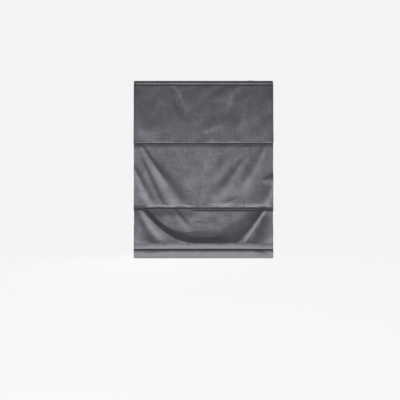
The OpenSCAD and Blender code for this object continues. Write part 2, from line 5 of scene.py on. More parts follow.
import bpy
import numpy as np
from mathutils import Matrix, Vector


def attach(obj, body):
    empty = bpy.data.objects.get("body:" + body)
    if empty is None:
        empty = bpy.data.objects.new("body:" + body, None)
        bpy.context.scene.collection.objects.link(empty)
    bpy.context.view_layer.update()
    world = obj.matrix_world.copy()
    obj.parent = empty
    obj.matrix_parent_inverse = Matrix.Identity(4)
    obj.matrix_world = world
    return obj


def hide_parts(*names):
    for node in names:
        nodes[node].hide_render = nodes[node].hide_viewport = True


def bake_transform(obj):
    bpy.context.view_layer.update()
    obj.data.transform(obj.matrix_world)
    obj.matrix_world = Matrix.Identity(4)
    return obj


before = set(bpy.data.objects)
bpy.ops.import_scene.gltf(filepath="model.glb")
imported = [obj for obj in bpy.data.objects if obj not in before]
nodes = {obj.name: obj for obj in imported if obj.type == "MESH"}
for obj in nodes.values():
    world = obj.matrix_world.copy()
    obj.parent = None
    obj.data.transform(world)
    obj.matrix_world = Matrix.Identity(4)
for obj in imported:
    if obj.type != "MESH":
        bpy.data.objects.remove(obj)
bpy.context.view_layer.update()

# Sizes in millimetres, the main ones as in the solids
PER_METRE = 1000
WIDE = 1000.0
CLOTH_TOP = -15.0
ROD_1, ROD_2, ROD_3 = -455.0, -915.0, -1055.0
PANEL_1 = CLOTH_TOP - ROD_1
PITCH = 460.0
BOTTOM = -1280.0
CLOTH_Y, LINING_Y = -26.0, -24.6
VELVET_T, LINING_T = 1.6, 0.6
TAPE_H, HEAD_H = 21.5, 18.0
TUCK = 3.5
EDGE_IN = 6.0

# Fullness of the two upper panels: run of the step at the seam, belly, and shares of the rise and the fall
FULL_1 = (10.0, 18.0, 1.6, 0.0)
FULL_2 = (30.0, 9.0, 1.0, 0.15)

# The fold under the second rod, its turn and the crest of the cloth over the third rod
FOLD_BELOW = 296.0
FOLD_Z = ROD_2 - FOLD_BELOW
FOLD_OUT, FOLD_TURN, TURN_H = 40.0, 14.0, 42.0
FOLD_Y = CLOTH_Y - FOLD_OUT + FOLD_TURN
FOLD_SIDE, CORNER = 12.0, 15.0
CREST_R, CREST_OVER = 1.7, 9
CREST_Z = ROD_3 + CREST_OVER
LEAD, LEAD_H = 13.0, 115.0

# The hem: its lower turn, its rear layer around the bar, its sewn edge and its fullness in front
HEM_R, HEM_BACK_Y, HEM_SEAM_Y, HEM_TOP = 4.05, -17.9, -23.2, -1231.0
HEM_Z = BOTTOM + VELVET_T / 2 + HEM_R
HEM_BACK_H, HEM_FLAT = 26, 8
HEM_OUT, HEM_OUT_Z, HEM_OUT_H = 8, -1198, 28
HEM_IN_Z, HEM_IN_H = -1228, 52
HEM_SMOOTH_Z, HEM_SMOOTH_H = -1276, 20

# The lining
LINING_WIDE = 964.0
LINING_TOP, LINING_END = 4, 5
LINING_SHARE, LINING_TUCK, LINING_OFF = 0.5, 3.0, 1.4
LINING_IN, LINING_LEAD = 20.0, 10.0
LINING_SWAG, LINING_TURN = 140.0, 12.0
LINING_ARC = 0.3 * math.pi
FOLLOW, FOLLOW_GAP, FOLLOW_END, FOLLOW_RUN = 6.0, 0.5, 140, 50

# Stitches and cords
STITCH_PITCH, STITCH_LONG, STITCH_R = 4.4, 3.2, 0.32
STITCH_SIDES, STITCH_RINGS = 6, (0.0, 0.3, 0.7, 1.0)
STITCH_ARCH, STITCH_SINK, STITCH_END, STITCH_AHEAD = 1.6, 0.8, 0.6, 0.5
POCKET_Y, POCKET_SEAM, HEM_SEAM, LINING_SEAM = -23.2, 10.0, 4.5, 12.0
POCKET_ROW_END, HEM_ROW_END = 3, 4
SIDE_HEM_TOP, OVER_ROD, UNDER_ROD, UNDER_ROD_3, UNDER_HEM = -46.0, 14, 8, 16, 1
CORD_Y, CORD_R, CORD_X = -9.9, 0.6, 400.0
CORD_TOP, CORD_STILL, CORD_PAST = -23.5, 30, 9
CORD_SIDES, CORD_STEP, BRAID, BRAID_TURN = 10, 4.0, 0.05, 0.3

# Rows and columns of the meshes
VELVET_COLUMNS, LINING_COLUMNS = 241, 125
FINE_ROWS, PANEL_ROWS, ROLL_ROWS = 10, 92, 13
SWAG_ROWS, TURN_ROWS, BACK_ROWS = 68, 22, 36
CREST_ROWS, HANG_ROWS, HEM_ROWS, HEM_BACK_ROWS, HEM_LEAN_ROWS = 11, 46, 12, 7, 9
LINING_ROWS, LINING_ROLL_ROWS, LINING_SWAG_ROWS, LINING_TURN_ROWS = 60, 9, 46, 15
LINING_BACK_ROWS, LINING_ARC_ROWS, LINING_LOW_ROWS = 24, 6, 40

# Creases of the velvet: x, drop, x, drop, bend, half width left, half width right, height.
# A crease starts narrow at its first point, and left and right are as seen where it runs down.
# The drop is from the panel's top, in the bottom panel from the second rod.
CREASES_1 = [
    (-250, -10, -120, 260, 0, 46, 44, -4),
    (-250, -20, -126, 252, 0, 42, 27, -6),
    (262, 40, 172, 270, 0, 50, 44, -5),
    (285, 70, 262, 350, 0, 30, 60, 4),
    (-10, 360, 150, 284, 0, 46, 74, 5),
    (30, 132, 175, 90, 0, 40, 46, 2),
    (-490, 335, -290, 352, 0, 90, 110, 6),
    (-478, 60, -462, 300, 0, 26, 34, 3),
]
CREASES_2 = [
    (-454, -10, -262, 290, -4, 52, 21, 11),
    (-350, 130, -110, 526, 0, 70, 66, 17),
    (-436, 120, -251, 536, -6, 56, 32, 13),
    (-520, 130, -332, 500, 0, 40, 36, 13),
    (-570, 290, -440, 490, 0, 60, 130, -5),
    (440, 5, 250, 365, 10, 60, 56, 12),
    (300, 100, 70, 415, 4, 52, 74, 14),
    (558, 170, 396, 520, 0, 72, 32, 16),
    (256, 388, 124, 448, 0, 30, 26, 3),
    (185, 80, 40, 270, 0, 50, 60, 4),
    (425, 266, 540, 236, 0, 60, 30, 8),
    (40, 432, 500, 424, 0, 24, 70, 3),
]
CREASES_3 = [
    (-466, 10, -292, 280, -18, 54, 50, -19),
    (-600, 200, -440, 380, 0, 46, 90, -18),
    (452, 15, 292, 275, 0, 18, 84, -20),
    (600, 180, 480, 360, 0, 90, 46, -18),
    (-226, 0, -90, 170, 4, 36, 28, 7),
]
CREASES_LOW = [
    (478, 356, 330, 312, 0, 36, 16, 8),
    (-440, 330, -300, 332, 0, 14, 20, 3),
]
# Patches of brushed pile, partly painted light and shade, in the same form. The last value shifts the tone's
# level, in thousandths: above zero it is lighter, below zero darker.
BRUSHED_AND_SHADED_1 = [
    (-222, 20, -150, 124, 0, 14, 16, 16),
    (-240, 40, -138, 236, 0, 30, 16, -16),
    # Painted shade down the panel's sides and at its top corners, in the next four rows
    (500, -110, 466, 150, 0, 80, 80, -62),
    (-500, -110, -486, 140, 0, 60, 60, -58),
    (500, -600, 500, 900, 0, 22, 22, -40),
    (-500, -600, -500, 900, 0, 18, 18, -40),
    (163, 278, 214, 60, 8, 22, 22, 34),
    (300, 90, 306, 330, 0, 36, 30, 30),
    (222, 90, 226, 320, 0, 26, 28, -22),
    (10, 200, 120, 150, 0, 24, 26, -32),
    (-132, 10, -122, 96, 0, 18, 18, -26),
    (40, 86, 120, 134, 0, 13, 14, 34),
    (-490, 300, -370, 440, 0, 50, 50, 16),
    (320, 350, 430, 388, 0, 36, 46, -20),
    (-380, 120, -350, 260, 0, 40, 40, -14),
    (-300, 90, -270, 250, 0, 30, 34, 14),
]
BRUSHED_AND_SHADED_2 = [
    (10, -120, 10, 330, 0, 150, 130, 20),
    (470, 40, 440, 420, 0, 110, 60, -14),
    (-300, 30, -240, 130, 0, 22, 30, -14),
    (-520, 180, -400, 460, 0, 26, 22, 20),
]
BRUSHED_AND_SHADED_3 = [
    (15, -60, 15, 110, 0, 120, 130, 20),
    (468, 10, 352, 268, 0, 18, 78, -110),
]
BRUSHED_AND_SHADED_UNIT = 1000
# Painted shade over the top panel, darker towards its top: its level at the top, and how much of that is gone
# at its foot
TOP_SHADE, TOP_SHADE_GONE = -0.062, 0.044

# Shape of the velvet

# Along a crease: its width at the start, how far it runs past its points, and how it fades there
NARROW, OVERRUN, FADE_IN, FADE_OUT = 0.3, 0.1, 0.3, 0.5
# Waves in the ripples and puckers: their number, the shortest and the longest
RIPPLES, SWAG_RIPPLES, LINING_RIPPLES, PUCKERS = (9, 110, 420), (9, 90, 320), (8, 90, 380), (7, 22, 75)
RIPPLE_H, SWAG_RIPPLE_H, LINING_RIPPLE_H, LINING_RIPPLE_MOST = 0.8, 0.6, 0.9, 1.2
PUCKER_H, SWAG_PUCKER_H = 0.7, 0.5
SEED_1, SEED_2, SEED_SWAG, SEED_SWAG_PUCKERS = 11, 21, 31, 33
SEED_LINING_1, SEED_LINING_2, SEED_LINING_3, SEED_LINING_BACK, SEED_LINING_LOW = 41, 42, 43, 44, 45


def smooth(t):
    """An even step from 0 to 1."""
    t = np.clip(t, 0.0, 1.0)
    return t * t * (3 - 2 * t)


def creased(creases, x, d):
    """How high a list of creases stands at x and the drop d."""
    total = np.zeros(np.broadcast(x, d).shape)
    for x0, d0, x1, d1, bend, left, right, height in creases:
        run_x, run_d = x1 - x0, d1 - d0
        size = math.hypot(run_x, run_d)
        along = ((x - x0) * run_x + (d - d0) * run_d) / size**2
        off = ((x - x0) * run_d - (d - d0) * run_x) / size - 4 * bend * along * (1 - along)
        ends = smooth((along + OVERRUN) / FADE_IN) * smooth((1 + OVERRUN - along) / FADE_OUT)
        wide = NARROW + (1 - NARROW) * np.clip(along, 0, 1)
        side = np.where(off < 0, left, right) * wide
        total = total + height * wide * ends * np.exp(-((off / side) ** 2))
    return total


def ripple(x, d, seed, waves, low, high):
    """Gentle unevenness of hung cloth: a few seeded waves, about -1 to 1."""
    rng = np.random.default_rng(seed)
    total = np.zeros(np.broadcast(x, d).shape)
    for _ in range(waves):
        length = rng.uniform(low, high)
        turn = rng.uniform(0, math.tau)
        phase = rng.uniform(0, math.tau)
        total = total + np.sin((x * math.cos(turn) + d * math.sin(turn)) * math.tau / length + phase)
    return total / math.sqrt(waves)


def puckers(x, seed):
    """Small gathers along a stitched line."""
    rng = np.random.default_rng(seed)
    waves, low, high = PUCKERS
    total = np.zeros(x.shape)
    for _ in range(waves):
        length = rng.uniform(low, high)
        total = total + np.sin(x * math.tau / length + rng.uniform(0, math.tau))
    return total / math.sqrt(waves)


def tucked(d, high):
    """1 down a panel and 0 at its lower seam, where it rolls in."""
    return np.sqrt(np.clip(1 - np.clip((d - high + TUCK) / TUCK, 0, 1) ** 2, 0, 1))


# Share of the fullness in the step at the seam, and how far down a panel its fall starts
SEAM_STEP, FALL_FROM = 0.35, 0.45


def filled(d, high, flat, seam, belly, rise, fall):
    """A panel's fullness: a step at its seam, a rise over a share of its height, and a fall to its end."""
    share = np.clip(d - flat, 0, None) / (high - flat)
    risen = 1 - np.clip(1 - share / rise, 0, 1) ** 2
    full = SEAM_STEP * smooth((d - flat) / seam) + (1 - SEAM_STEP) * risen
    return belly * full * (1 - fall * smooth((share - FALL_FROM) / (1 - FALL_FROM)))


# Near a panel's seams: runs in which creases fade, runs and share of the puckers, and room for the lining
LOOSE_TOP, LOOSE_LOW = 30, 18
SEWN_TOP, SEWN_TOP_SHARE, SEWN_LOW, SEWN_FROM = 22, 0.6, 30, 6
PANEL_ROOM = 1.3


def panel_out(creases, x, d, high, flat, full, seed):
    """How far a panel stands out in front of the cloth's plane."""
    fill = filled(d, high, flat, *full)
    free = smooth((d - flat) / LOOSE_TOP) * smooth((high - d) / LOOSE_LOW)
    loose = creased(creases, x, d) + RIPPLE_H * ripple(x, d, seed, *RIPPLES)
    sewn = np.exp(-np.clip(high - d, 0, None) / SEWN_LOW)
    sewn = sewn + SEWN_TOP_SHARE * np.exp(-np.clip(d - flat, 0, None) / SEWN_TOP)
    small = PUCKER_H * puckers(x, seed + 1) * sewn * smooth((d - flat) / SEWN_FROM)
    return np.maximum(LINING_SHARE * fill + PANEL_ROOM * free, fill + free * loose + small) * tucked(d, high)


# The swag's front edge: its drop, and on each side where it starts to rise, the run and power of that rise
RIDGE_DROP = 250
RIDGE_LEFT, RIDGE_RIGHT = (-40, 400, 2.1), (230, 210, 1.25)


def ridge_at(x):
    """Drop of the swag's front edge below the second rod."""
    start, run, power = RIDGE_LEFT
    left = np.abs(np.clip(x - start, None, 0) / run) ** power
    start, run, power = RIDGE_RIGHT
    right = np.abs(np.clip(x - start, 0, None) / run) ** power
    above = RIDGE_DROP * (1 - left - right) - CORNER
    return CORNER + (above + np.hypot(above, CORNER)) / 2


# The slope above that edge: its height, and on each side what is added, from where and over what run
SLOPE = 70
SLOPE_LEFT, SLOPE_RIGHT = (-26, 100, 230), (80, 60, 180)


def slope_long(x):
    """How far above that edge the cloth starts to swing out."""
    long = SLOPE
    for side, (more, start, run) in ((-1, SLOPE_LEFT), (1, SLOPE_RIGHT)):
        long = long + more * smooth((side * x - start) / run)
    return np.minimum(ridge_at(x), long)


# The swing's middle, where and over what run it gets rounder, and its power and rounding before and after
SWING_X, SWING_HALF, SWING_RUN, SWING_MOST = 90, 160, 180, 1.4
SWING_POWER, SWING_POWER_MORE, SWING_ROUND, SWING_ROUND_MORE = 1.8, 0.3, 0.3, 0.35


def swing(t, x):
    """From 0 to 1, steepest just before it gets there, and rounder towards the sides."""
    soft = smooth((np.abs(x - SWING_X) - SWING_HALF) / SWING_RUN)
    t = np.clip(t, 0, SWING_MOST) ** (SWING_POWER + SWING_POWER_MORE * soft)
    blend = SWING_ROUND + SWING_ROUND_MORE * soft
    near = np.clip(0.5 + (1 - t) / blend, 0, 1)
    return t * near + (1 - near) - 0.5 * blend * near * (1 - near)


def lining_front(d):
    """How far the lining of the swag is ahead of its plane."""
    swag = smooth((d - FOLD_BELOW + LINING_SWAG) / (LINING_SWAG - TURN_H))
    return LINING_LEAD * smooth(d / LEAD_H) + (FOLD_OUT - LINING_IN - LINING_LEAD) * swag


# Under the second rod: shares of the lead in the first step, the long slope and the second step, their drops,
# where along x the second step sets in, and how far the middle leans back
STEP_1, LONG_SLOPE, STEP_2 = 0.45, 0.15, 0.4
STEP_1_H, STEP_2_FROM, STEP_2_H, NO_STEP_H = 9, 15, 12, 70
STEP_2_X, STEP_2_RUN = -110, 80
LEAN, LEAN_FROM, LEAN_H = 1.5, 20, 90
LEAN_X, LEAN_HALF, LEAN_RUN = 20, 120, 150


def lead_in(x, d):
    """The cloth comes forward under the second rod in one step on the left and in two on the right."""
    right = smooth((x - STEP_2_X) / STEP_2_RUN)
    first = STEP_1 * smooth(d / STEP_1_H) + LONG_SLOPE * smooth(d / LEAD_H)
    second = right * smooth((d - STEP_2_FROM) / STEP_2_H) + (1 - right) * smooth(d / NO_STEP_H)
    middle = 1 - smooth((np.abs(x - LEAN_X) - LEAN_HALF) / LEAN_RUN)
    return LEAD * (first + STEP_2 * second) - LEAN * smooth((d - LEAN_FROM) / LEAN_H) * middle


# Where the swag reaches less far, as shares of the width, how its creases set in, and room for the lining
SIDE_FROM, SIDE_RUN = 0.36, 0.14
SWAG_LOOSE = 10
SWAG_ROOM, SWAG_ROOM_H = 1.6, 20


def gathered_out(x, d):
    """How far the swag stands out in front of the cloth's plane."""
    long = slope_long(x)
    reach = FOLD_OUT - FOLD_SIDE * smooth((np.abs(x) / WIDE - SIDE_FROM) / SIDE_RUN)
    front = lead_in(x, d) + (reach - LEAD) * swing((d - ridge_at(x) + long) / long, x)
    loose = creased(CREASES_3, x, d) + SWAG_RIPPLE_H * ripple(x, d, SEED_SWAG, *SWAG_RIPPLES)
    sewn = SWAG_PUCKER_H * puckers(x, SEED_SWAG_PUCKERS) * np.exp(-d / SEWN_TOP) * smooth(d / SEWN_FROM)
    least = lining_front(d) + SWAG_ROOM * smooth(d / SWAG_ROOM_H)
    return np.maximum(least, front + smooth(d / SWAG_LOOSE) * loose + sewn)


# Meshes


def mesh_object(name, points, faces, material):
    """A smooth object from points in millimetres."""
    mesh = bpy.data.meshes.new(name)
    mesh.from_pydata((np.asarray(points) / PER_METRE).tolist(), [], faces)
    mesh.polygons.foreach_set("use_smooth", np.ones(len(faces), dtype=bool))
    mesh.materials.append(material)
    mesh.update()
    obj = bpy.data.objects.new(name, mesh)
    bpy.context.scene.collection.objects.link(obj)
    return obj


def sheet_grid(x, y, z):
    return np.stack(np.broadcast_arrays(x, y, z), -1)


def cloth_object(name, grid, thickness, material, brushed_and_shaded=None):
    """A sheet from a grid of points in millimetres, with its flat cloth coordinates in metres as UVs."""
    rows, cols = grid.shape[:2]
    index = np.arange(rows * cols).reshape(rows, cols)
    quads = np.stack([index[:-1, :-1], index[1:, :-1], index[1:, 1:], index[:-1, 1:]], -1).reshape(-1, 4)
    obj = mesh_object(name, grid.reshape(-1, 3), quads.tolist(), material)
    step = np.linalg.norm(np.diff(grid, axis=0), axis=2).mean(axis=1)
    v = np.concatenate([[0.0], np.cumsum(step)]) / PER_METRE - grid[0, cols // 2, 2] / PER_METRE
    u = grid[0, :, 0] / PER_METRE
    uv = np.stack(np.broadcast_arrays(u[None, :], v[:, None]), -1).reshape(-1, 2)
    layer = obj.data.uv_layers.new(name="cloth")
    layer.data.foreach_set("uv", uv[quads.reshape(-1)].astype(np.float32).ravel())
    # Marks of brushed pile and painted light and shade, kept per point
    if brushed_and_shaded is not None:
        layer = obj.data.attributes.new("brushed_and_shaded", "FLOAT", "POINT")
        layer.data.foreach_set("value", np.ascontiguousarray(brushed_and_shaded, dtype=np.float32).ravel())
    solid = obj.modifiers.new("thickness", "SOLIDIFY")
    solid.thickness = thickness / PER_METRE
    solid.offset = 0
    return obj


def flat_size(obj):
    """Width and length of the cloth in a sheet, measured along it."""
    uv = np.zeros(2 * len(obj.data.loops), dtype=np.float32)
    obj.data.uv_layers[0].data.foreach_get("uv", uv)
    low, high = uv.reshape(-1, 2).min(0), uv.reshape(-1, 2).max(0)
    return float(high[0] - low[0]), float(high[1] - low[1])


def cord_object(name, x, z0, z1, material):
    """A straight cord with an even braid, from z0 down to z1."""
    count = int((z0 - z1) / CORD_STEP)
    angles = np.arange(CORD_SIDES) / CORD_SIDES * math.tau
    verts = []
    for i, z in enumerate(np.linspace(z0, z1, count + 1)):
        r = CORD_R * (1 + BRAID * math.cos(i * math.pi))
        for angle in angles + i * BRAID_TURN:
            verts.append((x + r * math.cos(angle), CORD_Y + r * math.sin(angle), z))
    faces = []
    for i in range(count):
        for k in range(CORD_SIDES):
            a, b = i * CORD_SIDES + k, i * CORD_SIDES + (k + 1) % CORD_SIDES
            faces.append((a, a + CORD_SIDES, b + CORD_SIDES, b))
    faces.append(tuple(range(CORD_SIDES)))
    faces.append(tuple(count * CORD_SIDES + k for k in reversed(range(CORD_SIDES))))
    return mesh_object(name, verts, faces, material)


def point_along(path, run, place):
    return np.array([np.interp(place, run, path[:, axis]) for axis in range(3)])


def stitched_object(name, paths, material):
    """Rows of single stitches on the back of a cloth, each one arched off it and sunk at its ends."""
    backwards = np.array((0.0, 1.0, 0.0))
    around = np.arange(STITCH_SIDES) / STITCH_SIDES * math.tau
    verts, faces = [], []
    for path in paths:
        run = np.concatenate([[0.0], np.cumsum(np.linalg.norm(np.diff(path, axis=0), axis=1))])
        for start in np.arange(STITCH_PITCH / 2, run[-1] - STITCH_PITCH, STITCH_PITCH):
            first = len(verts)
            for t in STITCH_RINGS:
                place = start + STITCH_LONG * t
                middle = point_along(path, run, place)
                way = point_along(path, run, place + STITCH_AHEAD) - middle
                side = np.cross(way / np.linalg.norm(way), backwards)
                arch = math.sin(math.pi * t)
                middle = middle + backwards * (STITCH_R * (STITCH_ARCH * arch - STITCH_SINK))
                thick = STITCH_R * (STITCH_END + (1 - STITCH_END) * arch)
                for a in around:
                    verts.append(middle + thick * (math.cos(a) * side + math.sin(a) * backwards))
            for ring in range(len(STITCH_RINGS) - 1):
                base = first + ring * STITCH_SIDES
                for k in range(STITCH_SIDES):
                    a, b = base + k, base + (k + 1) % STITCH_SIDES
                    faces.append((a, b, b + STITCH_SIDES, a + STITCH_SIDES))
            faces.append(tuple(first + k for k in reversed(range(STITCH_SIDES))))
            faces.append(tuple(len(verts) - STITCH_SIDES + k for k in range(STITCH_SIDES)))
    return mesh_object(name, verts, faces, material)


# Materials


def new_material(name):
    mat = bpy.data.materials.new(name)
    mat.use_nodes = True
    tree = mat.node_tree
    return mat, tree, tree.nodes["Principled BSDF"]


def set_inputs(node, values):
    for key, value in values.items():
        node.inputs[key].default_value = value


def add(tree, kind, **values):
    node = tree.nodes.new(kind)
    for key, value in values.items():
        if key in node.inputs:
            node.inputs[key].default_value = value
        else:
            setattr(node, key, value)
    return node


def textured(tree, kind, coords, **values):
    """A texture's value at the given coordinates."""
    node = add(tree, kind, **values)
    tree.links.new(coords, node.inputs["Vector"])
    return node.outputs["Fac"]


def noise(tree, coords, **values):
    return textured(tree, "ShaderNodeTexNoise", coords, **values)


def stretched(tree, coords, stretch):
    node = add(tree, "ShaderNodeMapping", Scale=stretch)
    tree.links.new(coords, node.inputs["Vector"])
    return node.outputs["Vector"]


def ranged(tree, value, low, high, to_low, to_high):
    node = add(tree, "ShaderNodeMapRange")
    set_inputs(node, {"From Min": low, "From Max": high, "To Min": to_low, "To Max": to_high})
    tree.links.new(value, node.inputs["Value"])
    return node.outputs["Result"]


def combined(tree, operation, first, second):
    node = add(tree, "ShaderNodeMath", operation=operation)
    tree.links.new(first, node.inputs[0])
    tree.links.new(second, node.inputs[1])
    return node.outputs["Value"]


def scaled(tree, value, factor):
    node = add(tree, "ShaderNodeMath", operation="MULTIPLY")
    tree.links.new(value, node.inputs[0])
    node.inputs[1].default_value = factor
    return node.outputs["Value"]


def ramp(tree, value, stops):
    node = add(tree, "ShaderNodeValToRGB")
    tree.links.new(value, node.inputs["Fac"])
    elements = node.color_ramp.elements
    while len(elements) < len(stops):
        elements.new(0.5)
    for element, (position, colour) in zip(elements, stops):
        element.position = position
        element.color = (*colour, 1)
    return node.outputs["Color"]


def bumped(tree, bsdf, height, strength, distance):
    node = add(tree, "ShaderNodeBump", Strength=strength, Distance=distance)
    tree.links.new(height, node.inputs["Height"])
    tree.links.new(node.outputs["Normal"], bsdf.inputs["Normal"])


def grey(v, red=1.0, blue=1.0):
    return (v * red, v, v * blue)


# Marks in the pile: stretch of the noise across, down and through, its detail, and how far it shifts the tone
STROKES = [
    ((64.0, 9.0, 1.0), 3.0, 0.011),
    ((12.0, 84.0, 1.0), 3.0, 0.013),
    ((105.0, 105.0, 1.0), 4.0, 0.02),
]
# How far brushed patches shift the tone, and the parts of the noises' ranges that are used
PATCH, PATCH_RANGE, STROKE_RANGE = 0.04, (0.2, 0.8), (0.25, 0.75)
# The velvet's tone by its level, from turned up to turned down, as painted light and shade by which way the
# cloth faces, partly the lie of its pile, and painted shade where it faces straight down: level, grey, its
# red and its blue
VELVET_SHADE_TONES = [
    (0.0, 0.06, 0.97, 1.09),
    (0.2, 0.036, 0.97, 1.09),
    (0.3, 0.038, 0.97, 1.09),
    (0.38, 0.052, 0.97, 1.09),
    (0.44, 0.076, 0.97, 1.09),
    (0.475, 0.102, 0.97, 1.09),
    (0.5, 0.127, 0.97, 1.09),
    (0.54, 0.18, 0.98, 1.09),
    (0.59, 0.245, 1.01, 1.08),
    (0.69, 0.26, 1.02, 1.06),
    (0.8, 0.14, 1.0, 1.0),
    (0.9, 0.06, 1.0, 1.0),
    (1.0, 0.035, 1.0, 1.0),
]


def velvet_material():
    """Cut pile laid downwards, with light and shade painted by which way the cloth faces: dark where it turns
    up, light where it turns down, and painted shade where it faces straight down.
    """
    mat, tree, bsdf = new_material("velvet")
    coords = add(tree, "ShaderNodeTexCoord").outputs["UV"]
    patches = noise(tree, coords, Scale=13.0, Detail=7.0, Roughness=0.66, Distortion=0.6)
    pile = noise(tree, coords, Scale=950.0, Detail=2.0, Roughness=0.7)
    shade_facing = add(tree, "ShaderNodeSeparateXYZ")
    tree.links.new(add(tree, "ShaderNodeNewGeometry").outputs["Normal"], shade_facing.inputs["Vector"])
    # Brushed pile and painted light and shade, listed per point on the sheets
    brushed_and_shaded_shift = add(tree, "ShaderNodeAttribute", attribute_name="brushed_and_shaded").outputs["Fac"]
    shifts = [brushed_and_shaded_shift, ranged(tree, patches, *PATCH_RANGE, -PATCH, PATCH)]
    for stretch, detail, reach in STROKES:
        marks = noise(tree, stretched(tree, coords, stretch), Scale=1.0, Detail=detail, Roughness=0.6)
        shifts.append(ranged(tree, marks, *STROKE_RANGE, -reach, reach))
    # Painted light and shade: the tone's level follows which way the cloth faces, lighter facing down and
    # darker facing up
    level = ranged(tree, shade_facing.outputs["Z"], 1.0, -1.0, 0.0, 1.0)
    for shift in shifts:
        level = combined(tree, "ADD", level, shift)
    tone = ramp(tree, level, [(place, grey(*colour)) for place, *colour in VELVET_SHADE_TONES])
    tuft = ramp(tree, pile, [(0.3, grey(0.75)), (0.7, grey(1.0))])
    mixed = add(tree, "ShaderNodeMix", data_type="RGBA", blend_type="MULTIPLY")
    mixed.inputs["Factor"].default_value = 1.0
    tree.links.new(tone, mixed.inputs["A"])
    tree.links.new(tuft, mixed.inputs["B"])
    tree.links.new(mixed.outputs["Result"], bsdf.inputs["Base Color"])
    set_inputs(bsdf, {"Roughness": 0.95, "Specular IOR Level": 0.1})
    set_inputs(bsdf, {"Sheen Weight": 0.35, "Sheen Roughness": 0.4, "Sheen Tint": (0.92, 0.94, 1.0, 1)})
    bumped(tree, bsdf, pile, strength=0.35, distance=0.0008)
    return mat


def lining_material():
    """A plain weave with uneven threads."""
    mat, tree, bsdf = new_material("lining")
    coords = add(tree, "ShaderNodeTexCoord").outputs["UV"]
    threads, slubs = [], []
    for direction, stretch in (("X", (520.0, 22.0, 1.0)), ("Y", (22.0, 520.0, 1.0))):
        threads.append(textured(
            tree, "ShaderNodeTexWave", coords,
            wave_type="BANDS", bands_direction=direction, Scale=420.0, Distortion=0.6))
        slubs.append(noise(tree, stretched(tree, coords, stretch), Scale=1.0, Detail=3.0, Roughness=0.6))
    tone = scaled(tree, combined(tree, "ADD", *slubs), 0.5)
    stops = [(0.35, (0.68, 0.665, 0.62)), (0.65, (0.8, 0.785, 0.745))]
    tree.links.new(ramp(tree, tone, stops), bsdf.inputs["Base Color"])
    set_inputs(bsdf, {"Roughness": 0.85, "Sheen Weight": 0.15})
    bumped(tree, bsdf, combined(tree, "MULTIPLY", *threads), strength=0.3, distance=0.0004)
    return mat


# How far wear takes the roughness down and up
WORN_LESS, WORN_MORE = 0.08, 0.1


def hard_material(
    name, low, high, rough, scale, grain, metallic=0.0, relief=0.08, stretch=None, shine=0.5
):
    """A painted, moulded, spun or bare metal finish with slow tone changes and a fine grain."""
    mat, tree, bsdf = new_material(name)
    coords = add(tree, "ShaderNodeTexCoord").outputs["Object"]
    if stretch:
        coords = stretched(tree, coords, stretch)
    slow = noise(tree, coords, Scale=scale, Detail=4.0, Roughness=0.6)
    fine = noise(tree, coords, Scale=grain, Detail=2.0)
    tree.links.new(ramp(tree, slow, [(0.3, low), (0.7, high)]), bsdf.inputs["Base Color"])
    worn = ranged(tree, slow, 0.0, 1.0, rough - WORN_LESS, rough + WORN_MORE)
    tree.links.new(worn, bsdf.inputs["Roughness"])
    set_inputs(bsdf, {"Metallic": metallic, "Specular IOR Level": shine})
    bumped(tree, bsdf, fine, strength=relief, distance=0.0005)
    return mat


velvet = velvet_material()
lining_cloth = lining_material()
cord_fibre = hard_material(
    "cord", (0.55, 0.55, 0.53), (0.68, 0.68, 0.66), 0.75, scale=700.0, grain=2600.0, relief=0.5)
thread = hard_material(
    "thread", (0.5, 0.485, 0.44), (0.62, 0.6, 0.56), 0.7, scale=500.0, grain=2600.0, relief=0.4)
grey_thread = hard_material(
    "grey_thread", (0.03, 0.03, 0.033), (0.06, 0.06, 0.065), 0.7, scale=500.0, grain=2600.0, relief=0.4)
pocket_cloth = hard_material(
    "pocket_cloth", (0.68, 0.665, 0.62), (0.79, 0.775, 0.735), 0.85, scale=45.0, grain=1500.0, relief=0.4)
tape_fibre = hard_material(
    "tape", (0.035, 0.035, 0.037), (0.06, 0.06, 0.063), 0.9, scale=300.0, grain=1400.0, relief=0.8)
# The rail's anthracite paint, made near black as painted shade over it
rail_paint = hard_material(
    "rail_paint", (0.016, 0.017, 0.018), (0.026, 0.027, 0.028), 0.5, scale=14.0, grain=1300.0, shine=0.25)
cap_plastic = hard_material(
    "cap_plastic", (0.03, 0.03, 0.032), (0.045, 0.045, 0.048), 0.5, scale=40.0, grain=1800.0)
zinc = hard_material(
    "zinc_steel", (0.4, 0.41, 0.42), (0.54, 0.54, 0.53), 0.45, scale=90.0, grain=700.0, metallic=1.0)
shaft_steel = hard_material(
    "shaft_steel", (0.5, 0.5, 0.5), (0.62, 0.62, 0.61), 0.32, scale=60.0, grain=900.0,
    metallic=1.0, stretch=(0.05, 1, 1))
spring_steel = hard_material(
    "spring_steel", (0.3, 0.31, 0.34), (0.45, 0.45, 0.46), 0.28, scale=60.0, grain=900.0,
    metallic=1.0, stretch=(0.1, 1, 1))
bar_metal = hard_material(
    "bar_aluminium", (0.72, 0.73, 0.74), (0.8, 0.8, 0.8), 0.36, scale=30.0, grain=500.0,
    metallic=1.0, stretch=(0.05, 1, 1))
white_plastic = hard_material(
    "white_plastic", (0.7, 0.7, 0.67), (0.76, 0.76, 0.73), 0.42, scale=70.0, grain=1500.0)
clear_fibre = hard_material(
    "rod_fibre", (0.62, 0.62, 0.56), (0.74, 0.74, 0.68), 0.35, scale=80.0, grain=900.0, stretch=(0.05, 1, 1))

# What carries the cloth


